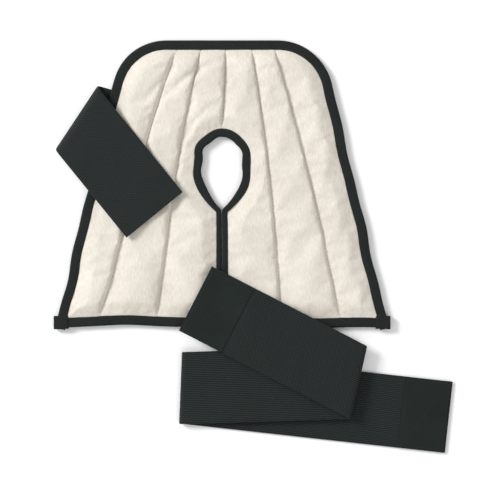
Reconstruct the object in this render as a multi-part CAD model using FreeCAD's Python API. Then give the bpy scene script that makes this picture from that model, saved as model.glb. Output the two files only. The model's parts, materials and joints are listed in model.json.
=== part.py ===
"""Cold compression wrap, lying open on a table with its plush side up.

A keyhole pad of sewn channels is bound with tape. A short elastic strap is folded round the
pad's left edge, and a long elastic strap lies folded in three across its lower edge.
X runs across the pad, Y runs up along its slit, and Z is up. All sizes are in millimetres.
"""
import FreeCAD, Part
import math
import os

# Pad outline
PAD_BOTTOM_WIDTH = 348.0
PAD_TOP_WIDTH = 208.0
PAD_HEIGHT = 300.0
PAD_CORNER_RADIUS = 58.0
PAD_SLOPE = (PAD_BOTTOM_WIDTH - PAD_TOP_WIDTH) / 2 / PAD_HEIGHT

# Keyhole: a teardrop opening with a slit that runs down to the lower edge
HOLE_RADIUS = 20.5
HOLE_CENTRE_Y = 178.0
HOLE_POINT_Y = 124.0
HOLE_FLANK_X = 17.5
HOLE_FLANK_Y = 147.0
SLIT_WIDTH = 1.0

# Sewn seams: X where each one meets the pad's lower and upper edge. The inner two are set by how
# far beyond the hole's side they pass.
SEAM_LEFT_OUTER = (-130.0, -44.0)
SEAM_RIGHT_OUTER = (125.0, 52.0)
LEFT_INNER_REACH = (48.5, 4.0)
RIGHT_INNER_REACH = (41.5, 13.5)
SEAM_LEFT_INNER = (-HOLE_RADIUS - LEFT_INNER_REACH[0], -HOLE_RADIUS - LEFT_INNER_REACH[1])
SEAM_RIGHT_INNER = (HOLE_RADIUS + RIGHT_INNER_REACH[0], HOLE_RADIUS + RIGHT_INNER_REACH[1])
SEAM_GAP = 0.6
SEAM_TO_CROWN = 4.0

# Fabrics and filling
BACK_THICKNESS = 1.6
PLUSH_THICKNESS = 2.0
TAPE_THICKNESS = 0.8
TAPE_WIDTH = 10.5
HOLE_TAPE_WIDTH = 9.0
SLIT_TAPE_WIDTH = 5.7
TAPE_TO_CROWN = 1.5
CROWN_RISE = 6.0
CROWN_STEPS = 3
CROWN_STEP_INSET = 1.0
CROWN_SKIN = 1.7
GEL_INSET = 2.8
GEL_CLEARANCE = 0.3
CORNER_TAB_WIDTH = 15.0
CORNER_TAB_LAP = 2.0
CORNER_TAB_HEIGHT = TAPE_WIDTH + CORNER_TAB_LAP
CORNER_TAB_PROUD = 1.5

# Straps
STRAP_WIDTH = 75.0
STRAP_THICKNESS = 2.0
HOOK_THICKNESS = 0.8
TAB_LENGTH = 50.0
TAB_HEM = 3.0
REST_CLEARANCE = 0.3
JOINT_GAP = 0.3

# Short strap: the middle of its fold's outer edge, as a height and a reach beyond the pad's
# left edge, and the heading of its front flap
SHORT_FOLD_HEIGHT = 222.0
SHORT_FOLD_REACH = 27.3
SHORT_FOLD_X = PAD_SLOPE * SHORT_FOLD_HEIGHT - PAD_BOTTOM_WIDTH / 2 - SHORT_FOLD_REACH
SHORT_FOLD_POINT = (SHORT_FOLD_X, SHORT_FOLD_HEIGHT)
SHORT_HEADING = -50.9
SHORT_FOLD_HEADING = 56.5
SHORT_FLAP_LENGTH = 123.0
SHORT_ANCHOR_MARGIN = 4.0

# Long strap, from its tail to its top end: where its middle line turns
LONG_TAIL_POINT = (237.0, -94.0)
LONG_LEFT_FOLD_POINT = (-43.5, -63.5)
LONG_RIGHT_FOLD_POINT = (142.0, -58.0)
LONG_TOP_POINT = (-28.0, 29.0)
LONG_FOLD_GAP = 4.0

# Levels, from the table upwards
BACK_BOTTOM = STRAP_THICKNESS + TAPE_THICKNESS
BACK_TOP = BACK_BOTTOM + BACK_THICKNESS
FLANGE_TOP = BACK_TOP + PLUSH_THICKNESS
CROWN_TOP = FLANGE_TOP + CROWN_RISE
GEL_TOP = CROWN_TOP - CROWN_SKIN - GEL_CLEARANCE
TAPE_BOTTOM = BACK_BOTTOM - TAPE_THICKNESS
TAPE_TOP = FLANGE_TOP + TAPE_THICKNESS
UPPER_HOOK = CROWN_TOP + REST_CLEARANCE
UPPER_STRAP = UPPER_HOOK + HOOK_THICKNESS
UPPER_STRAP_TOP = UPPER_STRAP + STRAP_THICKNESS
LOW_STRAP = HOOK_THICKNESS
LOW_STRAP_TOP = LOW_STRAP + STRAP_THICKNESS
MIDDLE_STRAP = LOW_STRAP_TOP + LONG_FOLD_GAP
MIDDLE_STRAP_TOP = MIDDLE_STRAP + STRAP_THICKNESS

UP = FreeCAD.Vector(0, 0, 1)
REACH = 600.0

nodes = {}


def vector(point, z=0.0):
    return FreeCAD.Vector(point[0], point[1], z)


def unit(degrees):
    angle = math.radians(degrees)
    return FreeCAD.Vector(math.cos(angle), math.sin(angle), 0)


def prism(points, low, high):
    """The closed polygon through points, standing from one level to another."""
    corners = [FreeCAD.Vector(x, y, low) for x, y in points]
    face = Part.Face(Part.makePolygon(corners + corners[:1]))
    return face.extrude(UP * (high - low))


def seam_x(seam, y):
    bottom, top = seam
    return bottom + (top - bottom) * y / PAD_HEIGHT


def strip(left, right, margin, low, high):
    """All that lies between two seams, less a margin beside each. None is the open side."""
    below, above = -REACH / 2, REACH
    points = []
    for y in (below, above):
        points.append((seam_x(left, y) + margin if left else -REACH, y))
    for y in (above, below):
        points.append((seam_x(right, y) - margin if right else REACH, y))
    return prism(points, low, high)


def outline(inset, low, high):
    """The pad's outline, moved inwards by inset, with its two upper corners rounded."""
    side = inset * math.hypot(1, PAD_SLOPE)
    half_bottom = PAD_BOTTOM_WIDTH / 2 - PAD_SLOPE * inset - side
    half_top = PAD_TOP_WIDTH / 2 + PAD_SLOPE * inset - side
    top = PAD_HEIGHT - inset
    points = [(-half_bottom, inset), (half_bottom, inset), (half_top, top), (-half_top, top)]
    solid = prism(points, low, high)
    upper = [e for e in solid.Edges
             if abs(e.BoundBox.XLength) + abs(e.BoundBox.YLength) < 0.01
             and e.BoundBox.YMin > PAD_HEIGHT / 2]
    return solid.makeFillet(PAD_CORNER_RADIUS - inset, upper)


def keyhole(around_hole, around_slit, low, high):
    """The teardrop and its slit, each widened by a margin of its own."""
    left, right = (-HOLE_RADIUS, HOLE_CENTRE_Y), (HOLE_RADIUS, HOLE_CENTRE_Y)
    top, point = (0, HOLE_CENTRE_Y + HOLE_RADIUS), (0, HOLE_POINT_Y)
    arcs = [(right, top, left), (left, (-HOLE_FLANK_X, HOLE_FLANK_Y), point),
            (point, (HOLE_FLANK_X, HOLE_FLANK_Y), right)]
    edges = [Part.Arc(*[vector(end, low) for end in arc]).toShape() for arc in arcs]
    wire = Part.Wire(edges)
    if around_hole:
        wire = wire.makeOffset2D(around_hole)
    hole = Part.Face(wire).extrude(UP * (high - low))
    half = SLIT_WIDTH / 2 + around_slit
    slit_top = HOLE_POINT_Y + SLIT_WIDTH
    slit = prism([(-half, -REACH), (half, -REACH), (half, slit_top), (-half, slit_top)], low, high)
    return hole.fuse(slit).removeSplitter()


def band(start, end, low, high, start_heading=None, end_heading=None, margins=(0.0, 0.0)):
    """A flat run of strap between two points, each end cut square or along a fold line."""
    start, end = vector(start), vector(end)
    along = (end - start).normalize()
    across = FreeCAD.Vector(-along.y, along.x, 0)
    half = STRAP_WIDTH / 2

    def corners(point, heading, shift):
        cut = unit(heading) if heading is not None else across
        if cut.dot(across) < 0:
            cut = cut * -1
        cut = cut * (half / cut.dot(across))
        middle = point + along * shift
        return middle + cut, middle - cut

    left_start, right_start = corners(start, start_heading, margins[0])
    left_end, right_end = corners(end, end_heading, -margins[1])
    points = [(p.x, p.y) for p in (left_start, right_start, right_end, left_end)]
    return prism(points, low, high)


def patch(start, end, inset, low, high):
    """A piece sewn on a strap, square-ended and narrower than the strap by inset all round."""
    start, end = vector(start), vector(end)
    along = (end - start).normalize()
    across = FreeCAD.Vector(-along.y, along.x, 0) * (STRAP_WIDTH / 2 - inset)
    start, end = start + along * inset, end - along * inset
    points = [(p.x, p.y) for p in (start + across, start - across, end - across, end + across)]
    return prism(points, low, high)


def fold(point, heading, outward, length, low, high):
    """Half a tube that turns a strap over: its axis lies along the fold, midway in height."""
    outer = (high - low) / 2
    inner = outer - STRAP_THICKNESS
    axis = unit(heading)
    base = vector(point, (low + high) / 2) - axis * (length / 2)
    tube = Part.makeCylinder(outer, length, base, axis).cut(
        Part.makeCylinder(inner, length, base, axis))
    side = outward * (2 * outer)
    a, b = base - axis, base + axis * (length + 2)
    keep = Part.Face(Part.makePolygon([p - UP * (2 * outer) for p in (a, b, b + side, a + side, a)]))
    return tube.common(keep.extrude(UP * (4 * outer)))


def between(first, second, share):
    return tuple(a + (b - a) * share for a, b in zip(first, second))


def heading_of(first, second):
    return math.degrees(math.atan2(second[1] - first[1], second[0] - first[0]))


def run_length(first, second):
    return math.hypot(second[0] - first[0], second[1] - first[1])


# ---------------------------------------------------------------- pad
CHANNELS = {
    "left_outer": (None, SEAM_LEFT_OUTER),
    "left_mid": (SEAM_LEFT_OUTER, SEAM_LEFT_INNER),
    "left_inner": (SEAM_LEFT_INNER, (0.0, 0.0)),
    "right_inner": ((0.0, 0.0), SEAM_RIGHT_INNER),
    "right_mid": (SEAM_RIGHT_INNER, SEAM_RIGHT_OUTER),
    "right_outer": (SEAM_RIGHT_OUTER, None),
}
BACKS = {
    "left_outer": CHANNELS["left_outer"],
    "left_mid": CHANNELS["left_mid"],
    "centre": (SEAM_LEFT_INNER, SEAM_RIGHT_OUTER),
    "right_outer": CHANNELS["right_outer"],
}


def cut_sheet(edge, hole_edge, slit_edge, low, high):
    """A sheet of the pad's shape, kept back from its outline, its hole and its slit."""
    return outline(edge, low, high).cut(keyhole(hole_edge, slit_edge, low, high))


def make_panels():
    """The back cloth, the plush channels and the gel pack that each channel holds."""
    half_gap = SEAM_GAP / 2
    edge = TAPE_THICKNESS
    for name, (left, right) in BACKS.items():
        sheet = cut_sheet(edge, edge, edge, BACK_BOTTOM, BACK_TOP)
        nodes["back_cloth_" + name] = sheet.common(
            strip(left, right, half_gap, BACK_BOTTOM, BACK_TOP))

    flange_sheet = cut_sheet(edge, edge, edge, BACK_TOP, FLANGE_TOP)

    def inset_sheet(inset, top):
        tapes = (TAPE_WIDTH, HOLE_TAPE_WIDTH, SLIT_TAPE_WIDTH)
        return cut_sheet(*[tape + TAPE_TO_CROWN + inset for tape in tapes], BACK_TOP, top)

    steps = [inset_sheet(step * CROWN_STEP_INSET, FLANGE_TOP + CROWN_RISE * (step + 1) / CROWN_STEPS)
             for step in range(CROWN_STEPS)]
    gel_sheet = inset_sheet(GEL_INSET, GEL_TOP)
    pocket_top = GEL_TOP + GEL_CLEARANCE
    pocket_sheet = inset_sheet(GEL_INSET - GEL_CLEARANCE, pocket_top)

    for name, (left, right) in CHANNELS.items():
        plush = flange_sheet.common(strip(left, right, half_gap, BACK_TOP, FLANGE_TOP))
        for step, sheet in enumerate(steps):
            margin = SEAM_TO_CROWN + step * CROWN_STEP_INSET
            plush = plush.fuse(sheet.common(strip(left, right, margin, BACK_TOP, CROWN_TOP)))
        gel_margin = SEAM_TO_CROWN + GEL_INSET
        pocket = pocket_sheet.common(
            strip(left, right, gel_margin - GEL_CLEARANCE, BACK_TOP, pocket_top))
        nodes["plush_" + name] = plush.removeSplitter().cut(pocket)
        nodes["gel_pack_" + name] = gel_sheet.common(
            strip(left, right, gel_margin, BACK_TOP, GEL_TOP))


def make_tapes():
    """The binding tape: round the outline, along the lower hem, and round the keyhole."""
    covers = cut_sheet(TAPE_THICKNESS, TAPE_THICKNESS, TAPE_THICKNESS, BACK_BOTTOM, FLANGE_TOP)
    whole = outline(0.0, TAPE_BOTTOM, TAPE_TOP)
    inside = outline(TAPE_WIDTH, TAPE_BOTTOM - 1, TAPE_TOP + 1)
    mouth = keyhole(HOLE_TAPE_WIDTH, SLIT_TAPE_WIDTH, TAPE_BOTTOM - 1, TAPE_TOP + 1)
    opening = keyhole(0.0, 0.0, TAPE_BOTTOM - 1, TAPE_TOP + 1)
    slit_tape = whole.common(mouth).cut(opening).cut(covers)
    nodes["keyhole_tape"] = slit_tape

    frame = whole.cut(inside).cut(mouth).cut(covers)
    hem_box = prism([(-REACH, -1), (REACH, -1), (REACH, TAPE_WIDTH), (-REACH, TAPE_WIDTH)],
                    TAPE_BOTTOM - 1, TAPE_TOP + 1)
    hem, border = frame.common(hem_box), frame.cut(hem_box)
    half_gap = SEAM_GAP / 2
    middle = (0.0, 0.0)
    hems = dict(left_outer=(None, SEAM_LEFT_OUTER), left_mid=(SEAM_LEFT_OUTER, SEAM_LEFT_INNER),
                left_inner=(SEAM_LEFT_INNER, middle), right_inner=(middle, SEAM_RIGHT_OUTER),
                right_outer=(SEAM_RIGHT_OUTER, None))
    for name, (left, right) in hems.items():
        nodes["hem_tape_" + name] = hem.common(
            strip(left, right, half_gap, TAPE_BOTTOM - 1, TAPE_TOP + 1))
    borders = dict(left_outer=(None, SEAM_LEFT_OUTER), left_mid=(SEAM_LEFT_OUTER, SEAM_LEFT_INNER),
                   centre=(SEAM_LEFT_INNER, SEAM_RIGHT_OUTER), right_outer=(SEAM_RIGHT_OUTER, None))
    for name, (left, right) in borders.items():
        nodes["border_tape_" + name] = border.common(
            strip(left, right, half_gap, TAPE_BOTTOM - 1, TAPE_TOP + 1))


def make_corner_tabs():
    """A short turn of tape that closes each lower corner over the hem's end."""
    body = outline(0.0, TAPE_BOTTOM, TAPE_TOP)
    outer = PAD_BOTTOM_WIDTH / 2 + CORNER_TAB_PROUD
    low, high = TAPE_BOTTOM - TAPE_THICKNESS, TAPE_TOP + TAPE_THICKNESS
    for name, side in (("left", -1), ("right", 1)):
        near, far = sorted((side * outer, side * (outer - CORNER_TAB_WIDTH)))
        block = prism([(near, -CORNER_TAB_PROUD), (far, -CORNER_TAB_PROUD),
                       (far, CORNER_TAB_HEIGHT), (near, CORNER_TAB_HEIGHT)], low, high)
        nodes["corner_tab_" + name] = block.cut(body)


# ---------------------------------------------------------------- straps
def make_short_strap():
    """The short strap: hooked under the outer channel, turned over, and laid on the plush."""
    radius = UPPER_STRAP_TOP / 2
    along = unit(SHORT_HEADING)
    line = unit(SHORT_FOLD_HEADING)
    inward = FreeCAD.Vector(line.y, -line.x, 0)
    axis = vector(SHORT_FOLD_POINT) + inward * radius
    fold_length = STRAP_WIDTH / abs(along.cross(line).z)
    nodes["short_strap_fold"] = fold((axis.x, axis.y), SHORT_FOLD_HEADING, inward * -1, fold_length,
                                     0.0, UPPER_STRAP_TOP)

    under_heading = 2 * SHORT_FOLD_HEADING - SHORT_HEADING - 180
    under_end = axis + unit(under_heading) * REACH
    anchor = band((axis.x, axis.y), (under_end.x, under_end.y), 0.0, STRAP_THICKNESS,
                  start_heading=SHORT_FOLD_HEADING)
    nodes["short_strap_anchor"] = anchor.common(
        strip(None, SEAM_LEFT_OUTER, SHORT_ANCHOR_MARGIN, 0.0, STRAP_THICKNESS))
    hook = band((axis.x, axis.y), (under_end.x, under_end.y), TAPE_BOTTOM, BACK_BOTTOM,
                start_heading=SHORT_FOLD_HEADING)
    hook = hook.common(strip(None, SEAM_LEFT_OUTER, 2 * SHORT_ANCHOR_MARGIN, TAPE_BOTTOM, BACK_BOTTOM))
    nodes["short_strap_back_hook"] = hook.common(
        outline(TAPE_WIDTH + TAPE_TO_CROWN, TAPE_BOTTOM, BACK_BOTTOM))

    flap_end = axis + along * SHORT_FLAP_LENGTH
    flap = band((axis.x, axis.y), (flap_end.x, flap_end.y), UPPER_STRAP, UPPER_STRAP_TOP,
                start_heading=SHORT_FOLD_HEADING, margins=(JOINT_GAP, 0.0))
    nodes["short_strap_flap"] = flap.common(
        strip(None, SEAM_LEFT_OUTER, JOINT_GAP, UPPER_STRAP, UPPER_STRAP_TOP))
    nodes["short_strap_end"] = flap.common(
        strip(SEAM_LEFT_OUTER, None, JOINT_GAP, UPPER_STRAP, UPPER_STRAP_TOP))
    tab_start = flap_end - along * TAB_LENGTH
    end_hook = patch((tab_start.x, tab_start.y), (flap_end.x, flap_end.y), TAB_HEM,
                     UPPER_HOOK, UPPER_STRAP)
    nodes["short_strap_end_hook"] = end_hook.common(
        strip(SEAM_LEFT_OUTER, None, JOINT_GAP, UPPER_HOOK, UPPER_STRAP))


def make_long_strap():
    """The long strap: tail on the table, folded over at the left, again at the right, and
    laid up across the slit."""
    tail, left, right, top = (LONG_TAIL_POINT, LONG_LEFT_FOLD_POINT,
                              LONG_RIGHT_FOLD_POINT, LONG_TOP_POINT)
    low_heading, middle_heading = heading_of(tail, left), heading_of(left, right)
    top_heading = heading_of(right, top)
    left_line = (low_heading + middle_heading) / 2
    right_line = (middle_heading + top_heading) / 2
    left_radius = (MIDDLE_STRAP_TOP - LOW_STRAP) / 2
    right_radius = (UPPER_STRAP_TOP - MIDDLE_STRAP) / 2
    left_axis = vector(left) + unit(middle_heading) * left_radius
    right_axis = vector(right) - unit(middle_heading) * right_radius
    left_axis, right_axis = (left_axis.x, left_axis.y), (right_axis.x, right_axis.y)

    def line_length(line, heading):
        return STRAP_WIDTH / abs(math.sin(math.radians(line - heading)))

    nodes["long_strap_left_fold"] = fold(left_axis, left_line, unit(left_line).cross(UP) * -1,
                                         line_length(left_line, middle_heading),
                                         LOW_STRAP, MIDDLE_STRAP_TOP)
    nodes["long_strap_right_fold"] = fold(right_axis, right_line, unit(right_line).cross(UP),
                                          line_length(right_line, middle_heading),
                                          MIDDLE_STRAP, UPPER_STRAP_TOP)
    tail_joint = between(tail, left_axis, TAB_LENGTH / run_length(tail, left_axis))
    nodes["long_strap_low_run"] = band(tail_joint, left_axis, LOW_STRAP, LOW_STRAP_TOP,
                                       end_heading=left_line, margins=(JOINT_GAP, 0.0))
    nodes["long_strap_middle_run"] = band(left_axis, right_axis, MIDDLE_STRAP, MIDDLE_STRAP_TOP,
                                          start_heading=left_line, end_heading=right_line)
    top_joint = between(top, right_axis, TAB_LENGTH / run_length(top, right_axis))
    nodes["long_strap_top_run"] = band(right_axis, top_joint, UPPER_STRAP, UPPER_STRAP_TOP,
                                       start_heading=right_line, margins=(0.0, JOINT_GAP))

    nodes["long_strap_tail"] = band(tail, tail_joint, LOW_STRAP, LOW_STRAP_TOP,
                                    margins=(0.0, JOINT_GAP))
    nodes["long_strap_tail_hook"] = patch(tail, tail_joint, TAB_HEM, 0.0, LOW_STRAP)
    nodes["long_strap_tail_cover"] = patch(tail, tail_joint, JOINT_GAP, LOW_STRAP_TOP,
                                           LOW_STRAP_TOP + HOOK_THICKNESS)
    nodes["long_strap_top_end"] = band(top_joint, top, UPPER_STRAP, UPPER_STRAP_TOP,
                                       margins=(JOINT_GAP, 0.0))
    nodes["long_strap_top_hook"] = patch(top_joint, top, TAB_HEM, UPPER_HOOK, UPPER_STRAP)
    nodes["long_strap_top_cover"] = patch(top_joint, top, JOINT_GAP, UPPER_STRAP_TOP,
                                          UPPER_STRAP_TOP + HOOK_THICKNESS)


def export():
    """Moves the whole wrap so that the origin is the middle of its footprint, and writes it."""
    box = FreeCAD.BoundBox()
    for shape in nodes.values():
        box.add(shape.optimalBoundingBox(False))
    shift = FreeCAD.Vector(-box.Center.x, -box.Center.y, -box.ZMin)
    print("origin shift", [round(v, 4) for v in shift])
    os.makedirs("parts", exist_ok=True)
    for name, shape in nodes.items():
        shape.translate(shift)
        shape.exportStep("parts/" + name + ".step")
        print(name, "solids", len(shape.Solids), "valid", shape.isValid(), "volume", round(shape.Volume))


make_panels()
make_tapes()
make_corner_tabs()
make_short_strap()
make_long_strap()
export()
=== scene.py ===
"""Looks of a cold compression wrap that lies open, plush side up, with its two elastic straps."""

import json
import math

import bpy
import numpy as np
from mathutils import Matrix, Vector


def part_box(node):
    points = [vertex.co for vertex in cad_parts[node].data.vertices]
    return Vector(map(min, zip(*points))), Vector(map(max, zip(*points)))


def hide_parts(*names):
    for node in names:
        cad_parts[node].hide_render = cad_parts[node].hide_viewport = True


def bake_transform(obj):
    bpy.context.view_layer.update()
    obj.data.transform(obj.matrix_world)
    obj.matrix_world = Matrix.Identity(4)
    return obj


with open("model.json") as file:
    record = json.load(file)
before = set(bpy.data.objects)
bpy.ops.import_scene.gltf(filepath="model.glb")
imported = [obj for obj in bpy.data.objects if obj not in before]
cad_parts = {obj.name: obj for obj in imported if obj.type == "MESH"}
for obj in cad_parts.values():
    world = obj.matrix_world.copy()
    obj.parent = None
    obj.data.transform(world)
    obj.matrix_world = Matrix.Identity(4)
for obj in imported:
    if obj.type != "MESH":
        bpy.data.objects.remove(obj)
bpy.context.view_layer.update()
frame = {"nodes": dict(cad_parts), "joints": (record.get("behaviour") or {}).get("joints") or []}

MM = 0.001
TUCK_LINES = 2
GEL_MARGIN = 9 * MM
PLUSH_THICKNESS = 2.2 * MM
BACK_THICKNESS = 1.55 * MM
CLOTH_STEPS = 18
CLOTH_CAP = 1.6 * MM

# ------------------------------------------------------------------ places and sizes, in metres
tab_left, tab_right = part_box("corner_tab_left"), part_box("corner_tab_right")
PAD_X = (tab_left[0].x + tab_right[1].x) / 2
PAD_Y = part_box("hem_tape_left_outer")[0].y
PAD_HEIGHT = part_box("border_tape_centre")[1].y - PAD_Y
PAD_WIDTH = 348 * MM
PAD_SLOPE = 70 / 300
CORNER_RADIUS = 58 * MM
HOLE_RADIUS = 20.5 * MM
HOLE_CENTRE_Y = 178 * MM
HOLE_POINT_Y = 124 * MM
HOLE_FLANK = (17.5 * MM, 147 * MM)
SLIT_HALF = 0.5 * MM

SEAM_LEFT_OUTER = (-130 * MM, -44 * MM)
SEAM_LEFT_INNER = (-69 * MM, -24.5 * MM)
SEAM_RIGHT_INNER = (62 * MM, 34 * MM)
SEAM_RIGHT_OUTER = (125 * MM, 52 * MM)

TAPE_LOW, TAPE_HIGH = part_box("border_tape_centre")[0].z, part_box("border_tape_centre")[1].z
TAPE_WIDTH = 10.5 * MM
HOLE_TAPE_WIDTH = 9.0 * MM
SLIT_TAPE_WIDTH = 5.7 * MM
BACK_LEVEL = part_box("back_cloth_centre")[0].z
CROWN_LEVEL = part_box("plush_right_outer")[1].z
PLUSH_UNDERSIDE = BACK_LEVEL + 1.6 * MM
GEL_MIDDLE = BACK_LEVEL + 3.6 * MM

STRAP_WIDTH = 75 * MM
STRAP_THICKNESS = 2.0 * MM
TAB_LENGTH = 50 * MM
UPPER_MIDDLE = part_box("long_strap_top_run")[0].z + STRAP_THICKNESS / 2
LOW_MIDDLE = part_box("long_strap_low_run")[0].z + STRAP_THICKNESS / 2
MIDDLE_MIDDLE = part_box("long_strap_middle_run")[0].z + STRAP_THICKNESS / 2
LONG_TAIL = np.array([237.0, -94.0]) * MM
LONG_LEFT_FOLD = np.array([-43.5, -63.5]) * MM
LONG_RIGHT_FOLD = np.array([142.0, -58.0]) * MM
LONG_TOP = np.array([-28.0, 29.0]) * MM
SHORT_FOLD = np.array([-149.5, 222.0]) * MM
SHORT_HEADING = math.radians(-50.9)
SHORT_FOLD_HEADING = math.radians(56.5)
SHORT_FLAP_LENGTH = 123 * MM
SHORT_REACH = 150 * MM
SHORT_TIP_START = 42 * MM
STRAP_SPACING = 1.5 * MM
LEFT_FOLD_INSET = 4.0 * MM
RIGHT_FOLD_INSET = 4.35 * MM
TOP_HALF_START = 0.9
COVER = (0.3 * MM, 1.35 * MM, 0.42 * MM)
HOOK_PATCH = (3 * MM, -1.4 * MM, 0.4 * MM)
TAB_STITCH_INSET, TAB_STITCH_LIFT = 3 * MM, 1.85 * MM
TAB_BAND_INTO, TAB_BAND_BACK = 18 * MM, 3 * MM


def joint(name):
    """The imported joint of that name, with its pos_m and its axis."""
    return next(j for j in frame["joints"] if j["name"] == name)


# ------------------------------------------------------------------ small tools
def to_frame(points):
    """Points about the middle of the pad's hem, moved to the frame."""
    moved = np.array(points, float)
    moved[..., 0] += PAD_X
    moved[..., 1] += PAD_Y
    return moved


def smooth(value, low, high):
    """From 0 at low to 1 at high, as t^2 (3 - 2 t), and level outside them."""
    t = np.clip((value - low) / (high - low), 0, 1)
    return t * t * (3 - 2 * t)


def unit(angle):
    """The level unit vector at an angle: its cosine and its sine."""
    return np.array([math.cos(angle), math.sin(angle)])


def heading(first, second):
    """The angle of the line from the first point to the second."""
    return math.atan2(second[1] - first[1], second[0] - first[0])


def waves(x, y, seed, scale, octaves=3):
    """Gentle unevenness: a sum of sines in random directions, each octave finer and weaker."""
    draw = np.random.default_rng(seed)
    total = np.zeros(np.broadcast(x, y).shape)
    for octave in range(octaves):
        for _ in range(4):
            angle, phase = draw.uniform(0, 2 * math.pi, 2)
            wave = (x * math.cos(angle) + y * math.sin(angle)) * 2 * math.pi / scale * 1.9 ** octave
            total += np.sin(wave + phase) / 4 / 1.7 ** octave
    return total


def make_object(name, points, faces, material, uv=None):
    """A mesh object at the origin, with its place in its vertices and every face smooth."""
    mesh = bpy.data.meshes.new(name)
    mesh.from_pydata([tuple(p) for p in points], [], [tuple(f) for f in faces])
    mesh.update()
    if uv is not None:
        layer = mesh.uv_layers.new(name="UVMap")
        corners = np.zeros(len(mesh.loops), np.int32)
        mesh.loops.foreach_get("vertex_index", corners)
        layer.data.foreach_set("uv", uv[corners].astype(np.float32).ravel())
    mesh.polygons.foreach_set("use_smooth", [True] * len(mesh.polygons))
    mesh.materials.append(material)
    piece = bpy.data.objects.new(name, mesh)
    bpy.context.scene.collection.objects.link(piece)
    return piece


def harden(mesh, hard):
    """Shades the marked faces flat, and makes every edge of theirs sharp."""
    totals = np.zeros(len(mesh.polygons), np.int32)
    mesh.polygons.foreach_get("loop_total", totals)
    edge_of = np.zeros(len(mesh.loops), np.int32)
    mesh.loops.foreach_get("edge_index", edge_of)
    sharp = np.zeros(len(mesh.edges), bool)
    sharp[edge_of[np.repeat(hard, totals)]] = True
    mesh.edges.foreach_set("use_edge_sharp", sharp)
    mesh.polygons.foreach_set("use_smooth", ~hard)


def grid_faces(rows, columns, around=False):
    """Quads of a rows by columns grid; around joins the last column to the first."""
    r = np.arange(rows - 1)[:, None]
    c = np.arange(columns if around else columns - 1)[None, :]
    d = (c + 1) % columns
    a, b = r * columns + c, r * columns + d
    return np.stack([a, b, b + columns, a + columns], -1).reshape(-1, 4)


def swept(name, rings, material, uv=None):
    """A closed skin over rings of points, (rings, points round, 3), capped at both ends."""
    count, around = rings.shape[:2]
    faces = [tuple(f) for f in grid_faces(count, around, around=True)]
    faces.append(tuple(range(around))[::-1])
    faces.append(tuple((count - 1) * around + i for i in range(around)))
    return make_object(name, rings.reshape(-1, 3), faces, material, uv=uv)


# ------------------------------------------------------------------ materials
class Socket:
    """A shader socket that adds Math nodes when it is used in an expression."""

    def __init__(self, tree, link):
        self.tree, self.link = tree, link

    def math(self, operation, other, swap=False):
        """A Math node of this socket and another value, in the other order if swapped."""
        pair = [other, self] if swap else [self, other]
        return self.tree.node("ShaderNodeMath", {"operation": operation}, pair)

    def __add__(self, other):
        return self.math("ADD", other)

    def __sub__(self, other):
        return self.math("SUBTRACT", other)

    def __rsub__(self, other):
        return self.math("SUBTRACT", other, swap=True)

    def __mul__(self, other):
        return self.math("MULTIPLY", other)

    def __pow__(self, other):
        return self.math("POWER", other)

    __radd__, __rmul__ = __add__, __mul__


class Tree:
    """One material's nodes."""

    def __init__(self, name):
        self.material = bpy.data.materials.new(name)
        self.material.use_nodes = True
        self.nodes, self.links = self.material.node_tree.nodes, self.material.node_tree.links
        self.shader = self.nodes["Principled BSDF"]

    def plug(self, socket, value):
        """Links a Socket to a shader socket, or sets a plain value on it."""
        if isinstance(value, Socket):
            self.links.new(value.link, socket)
        else:
            socket.default_value = value

    def node(self, kind, settings=None, inputs=(), output=0):
        """A node of that type: its settings first, then its sockets' values or links."""
        made = self.nodes.new(kind)
        for key, value in (settings or {}).items():
            if key == "stops":
                for element, (at, colour) in zip(made.color_ramp.elements, value):
                    element.position, element.color = at, colour
            else:
                setattr(made, key, value)
        items = inputs.items() if isinstance(inputs, dict) else enumerate(inputs)
        for key, value in items:
            self.plug(made.inputs[key], value)
        return Socket(self, made.outputs[output])

    def place(self, scale=(1, 1, 1), turn=0.0, uv=False):
        """Object coordinates, or the piece's own UV map, turned and scaled."""
        source = self.node("ShaderNodeTexCoord", output="UV" if uv else "Object")
        return self.node("ShaderNodeMapping", {}, {"Vector": source, "Scale": scale,
                                                   "Rotation": (0, 0, turn)})

    def noise(self, where, scale, detail=3.0, roughness=0.55):
        """Fractal noise, from 0 to 1 about 0.5."""
        return self.node("ShaderNodeTexNoise", {}, {"Vector": where, "Scale": scale,
                                                    "Detail": detail, "Roughness": roughness})

    def wave(self, where, scale, distortion=0.0, direction="X"):
        """Sine bands, from 0 to 1, square to a direction."""
        settings = {"wave_type": "BANDS", "bands_direction": direction, "wave_profile": "SIN"}
        return self.node("ShaderNodeTexWave", settings, {"Vector": where, "Scale": scale,
                                                         "Distortion": distortion, "Detail": 1.0})

    def mix(self, factor, first, second):
        """The first colour at a factor of 0, and the second at 1."""
        return self.node("ShaderNodeMix", {"data_type": "RGBA"},
                         {0: factor, 6: first, 7: second}, output=2)

    def finish(self, colour, roughness, height, distance, strength=1.0, **constants):
        """Joins colour, roughness and a bump height to the shader, and sets its constants."""
        self.plug(self.shader.inputs["Base Color"], colour)
        self.plug(self.shader.inputs["Roughness"], roughness)
        bump = self.node("ShaderNodeBump", {}, {"Height": height, "Distance": distance,
                                                "Strength": strength})
        self.plug(self.shader.inputs["Normal"], bump)
        for key, value in constants.items():
            self.shader.inputs[key.replace("_", " ")].default_value = value
        return self.material


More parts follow.
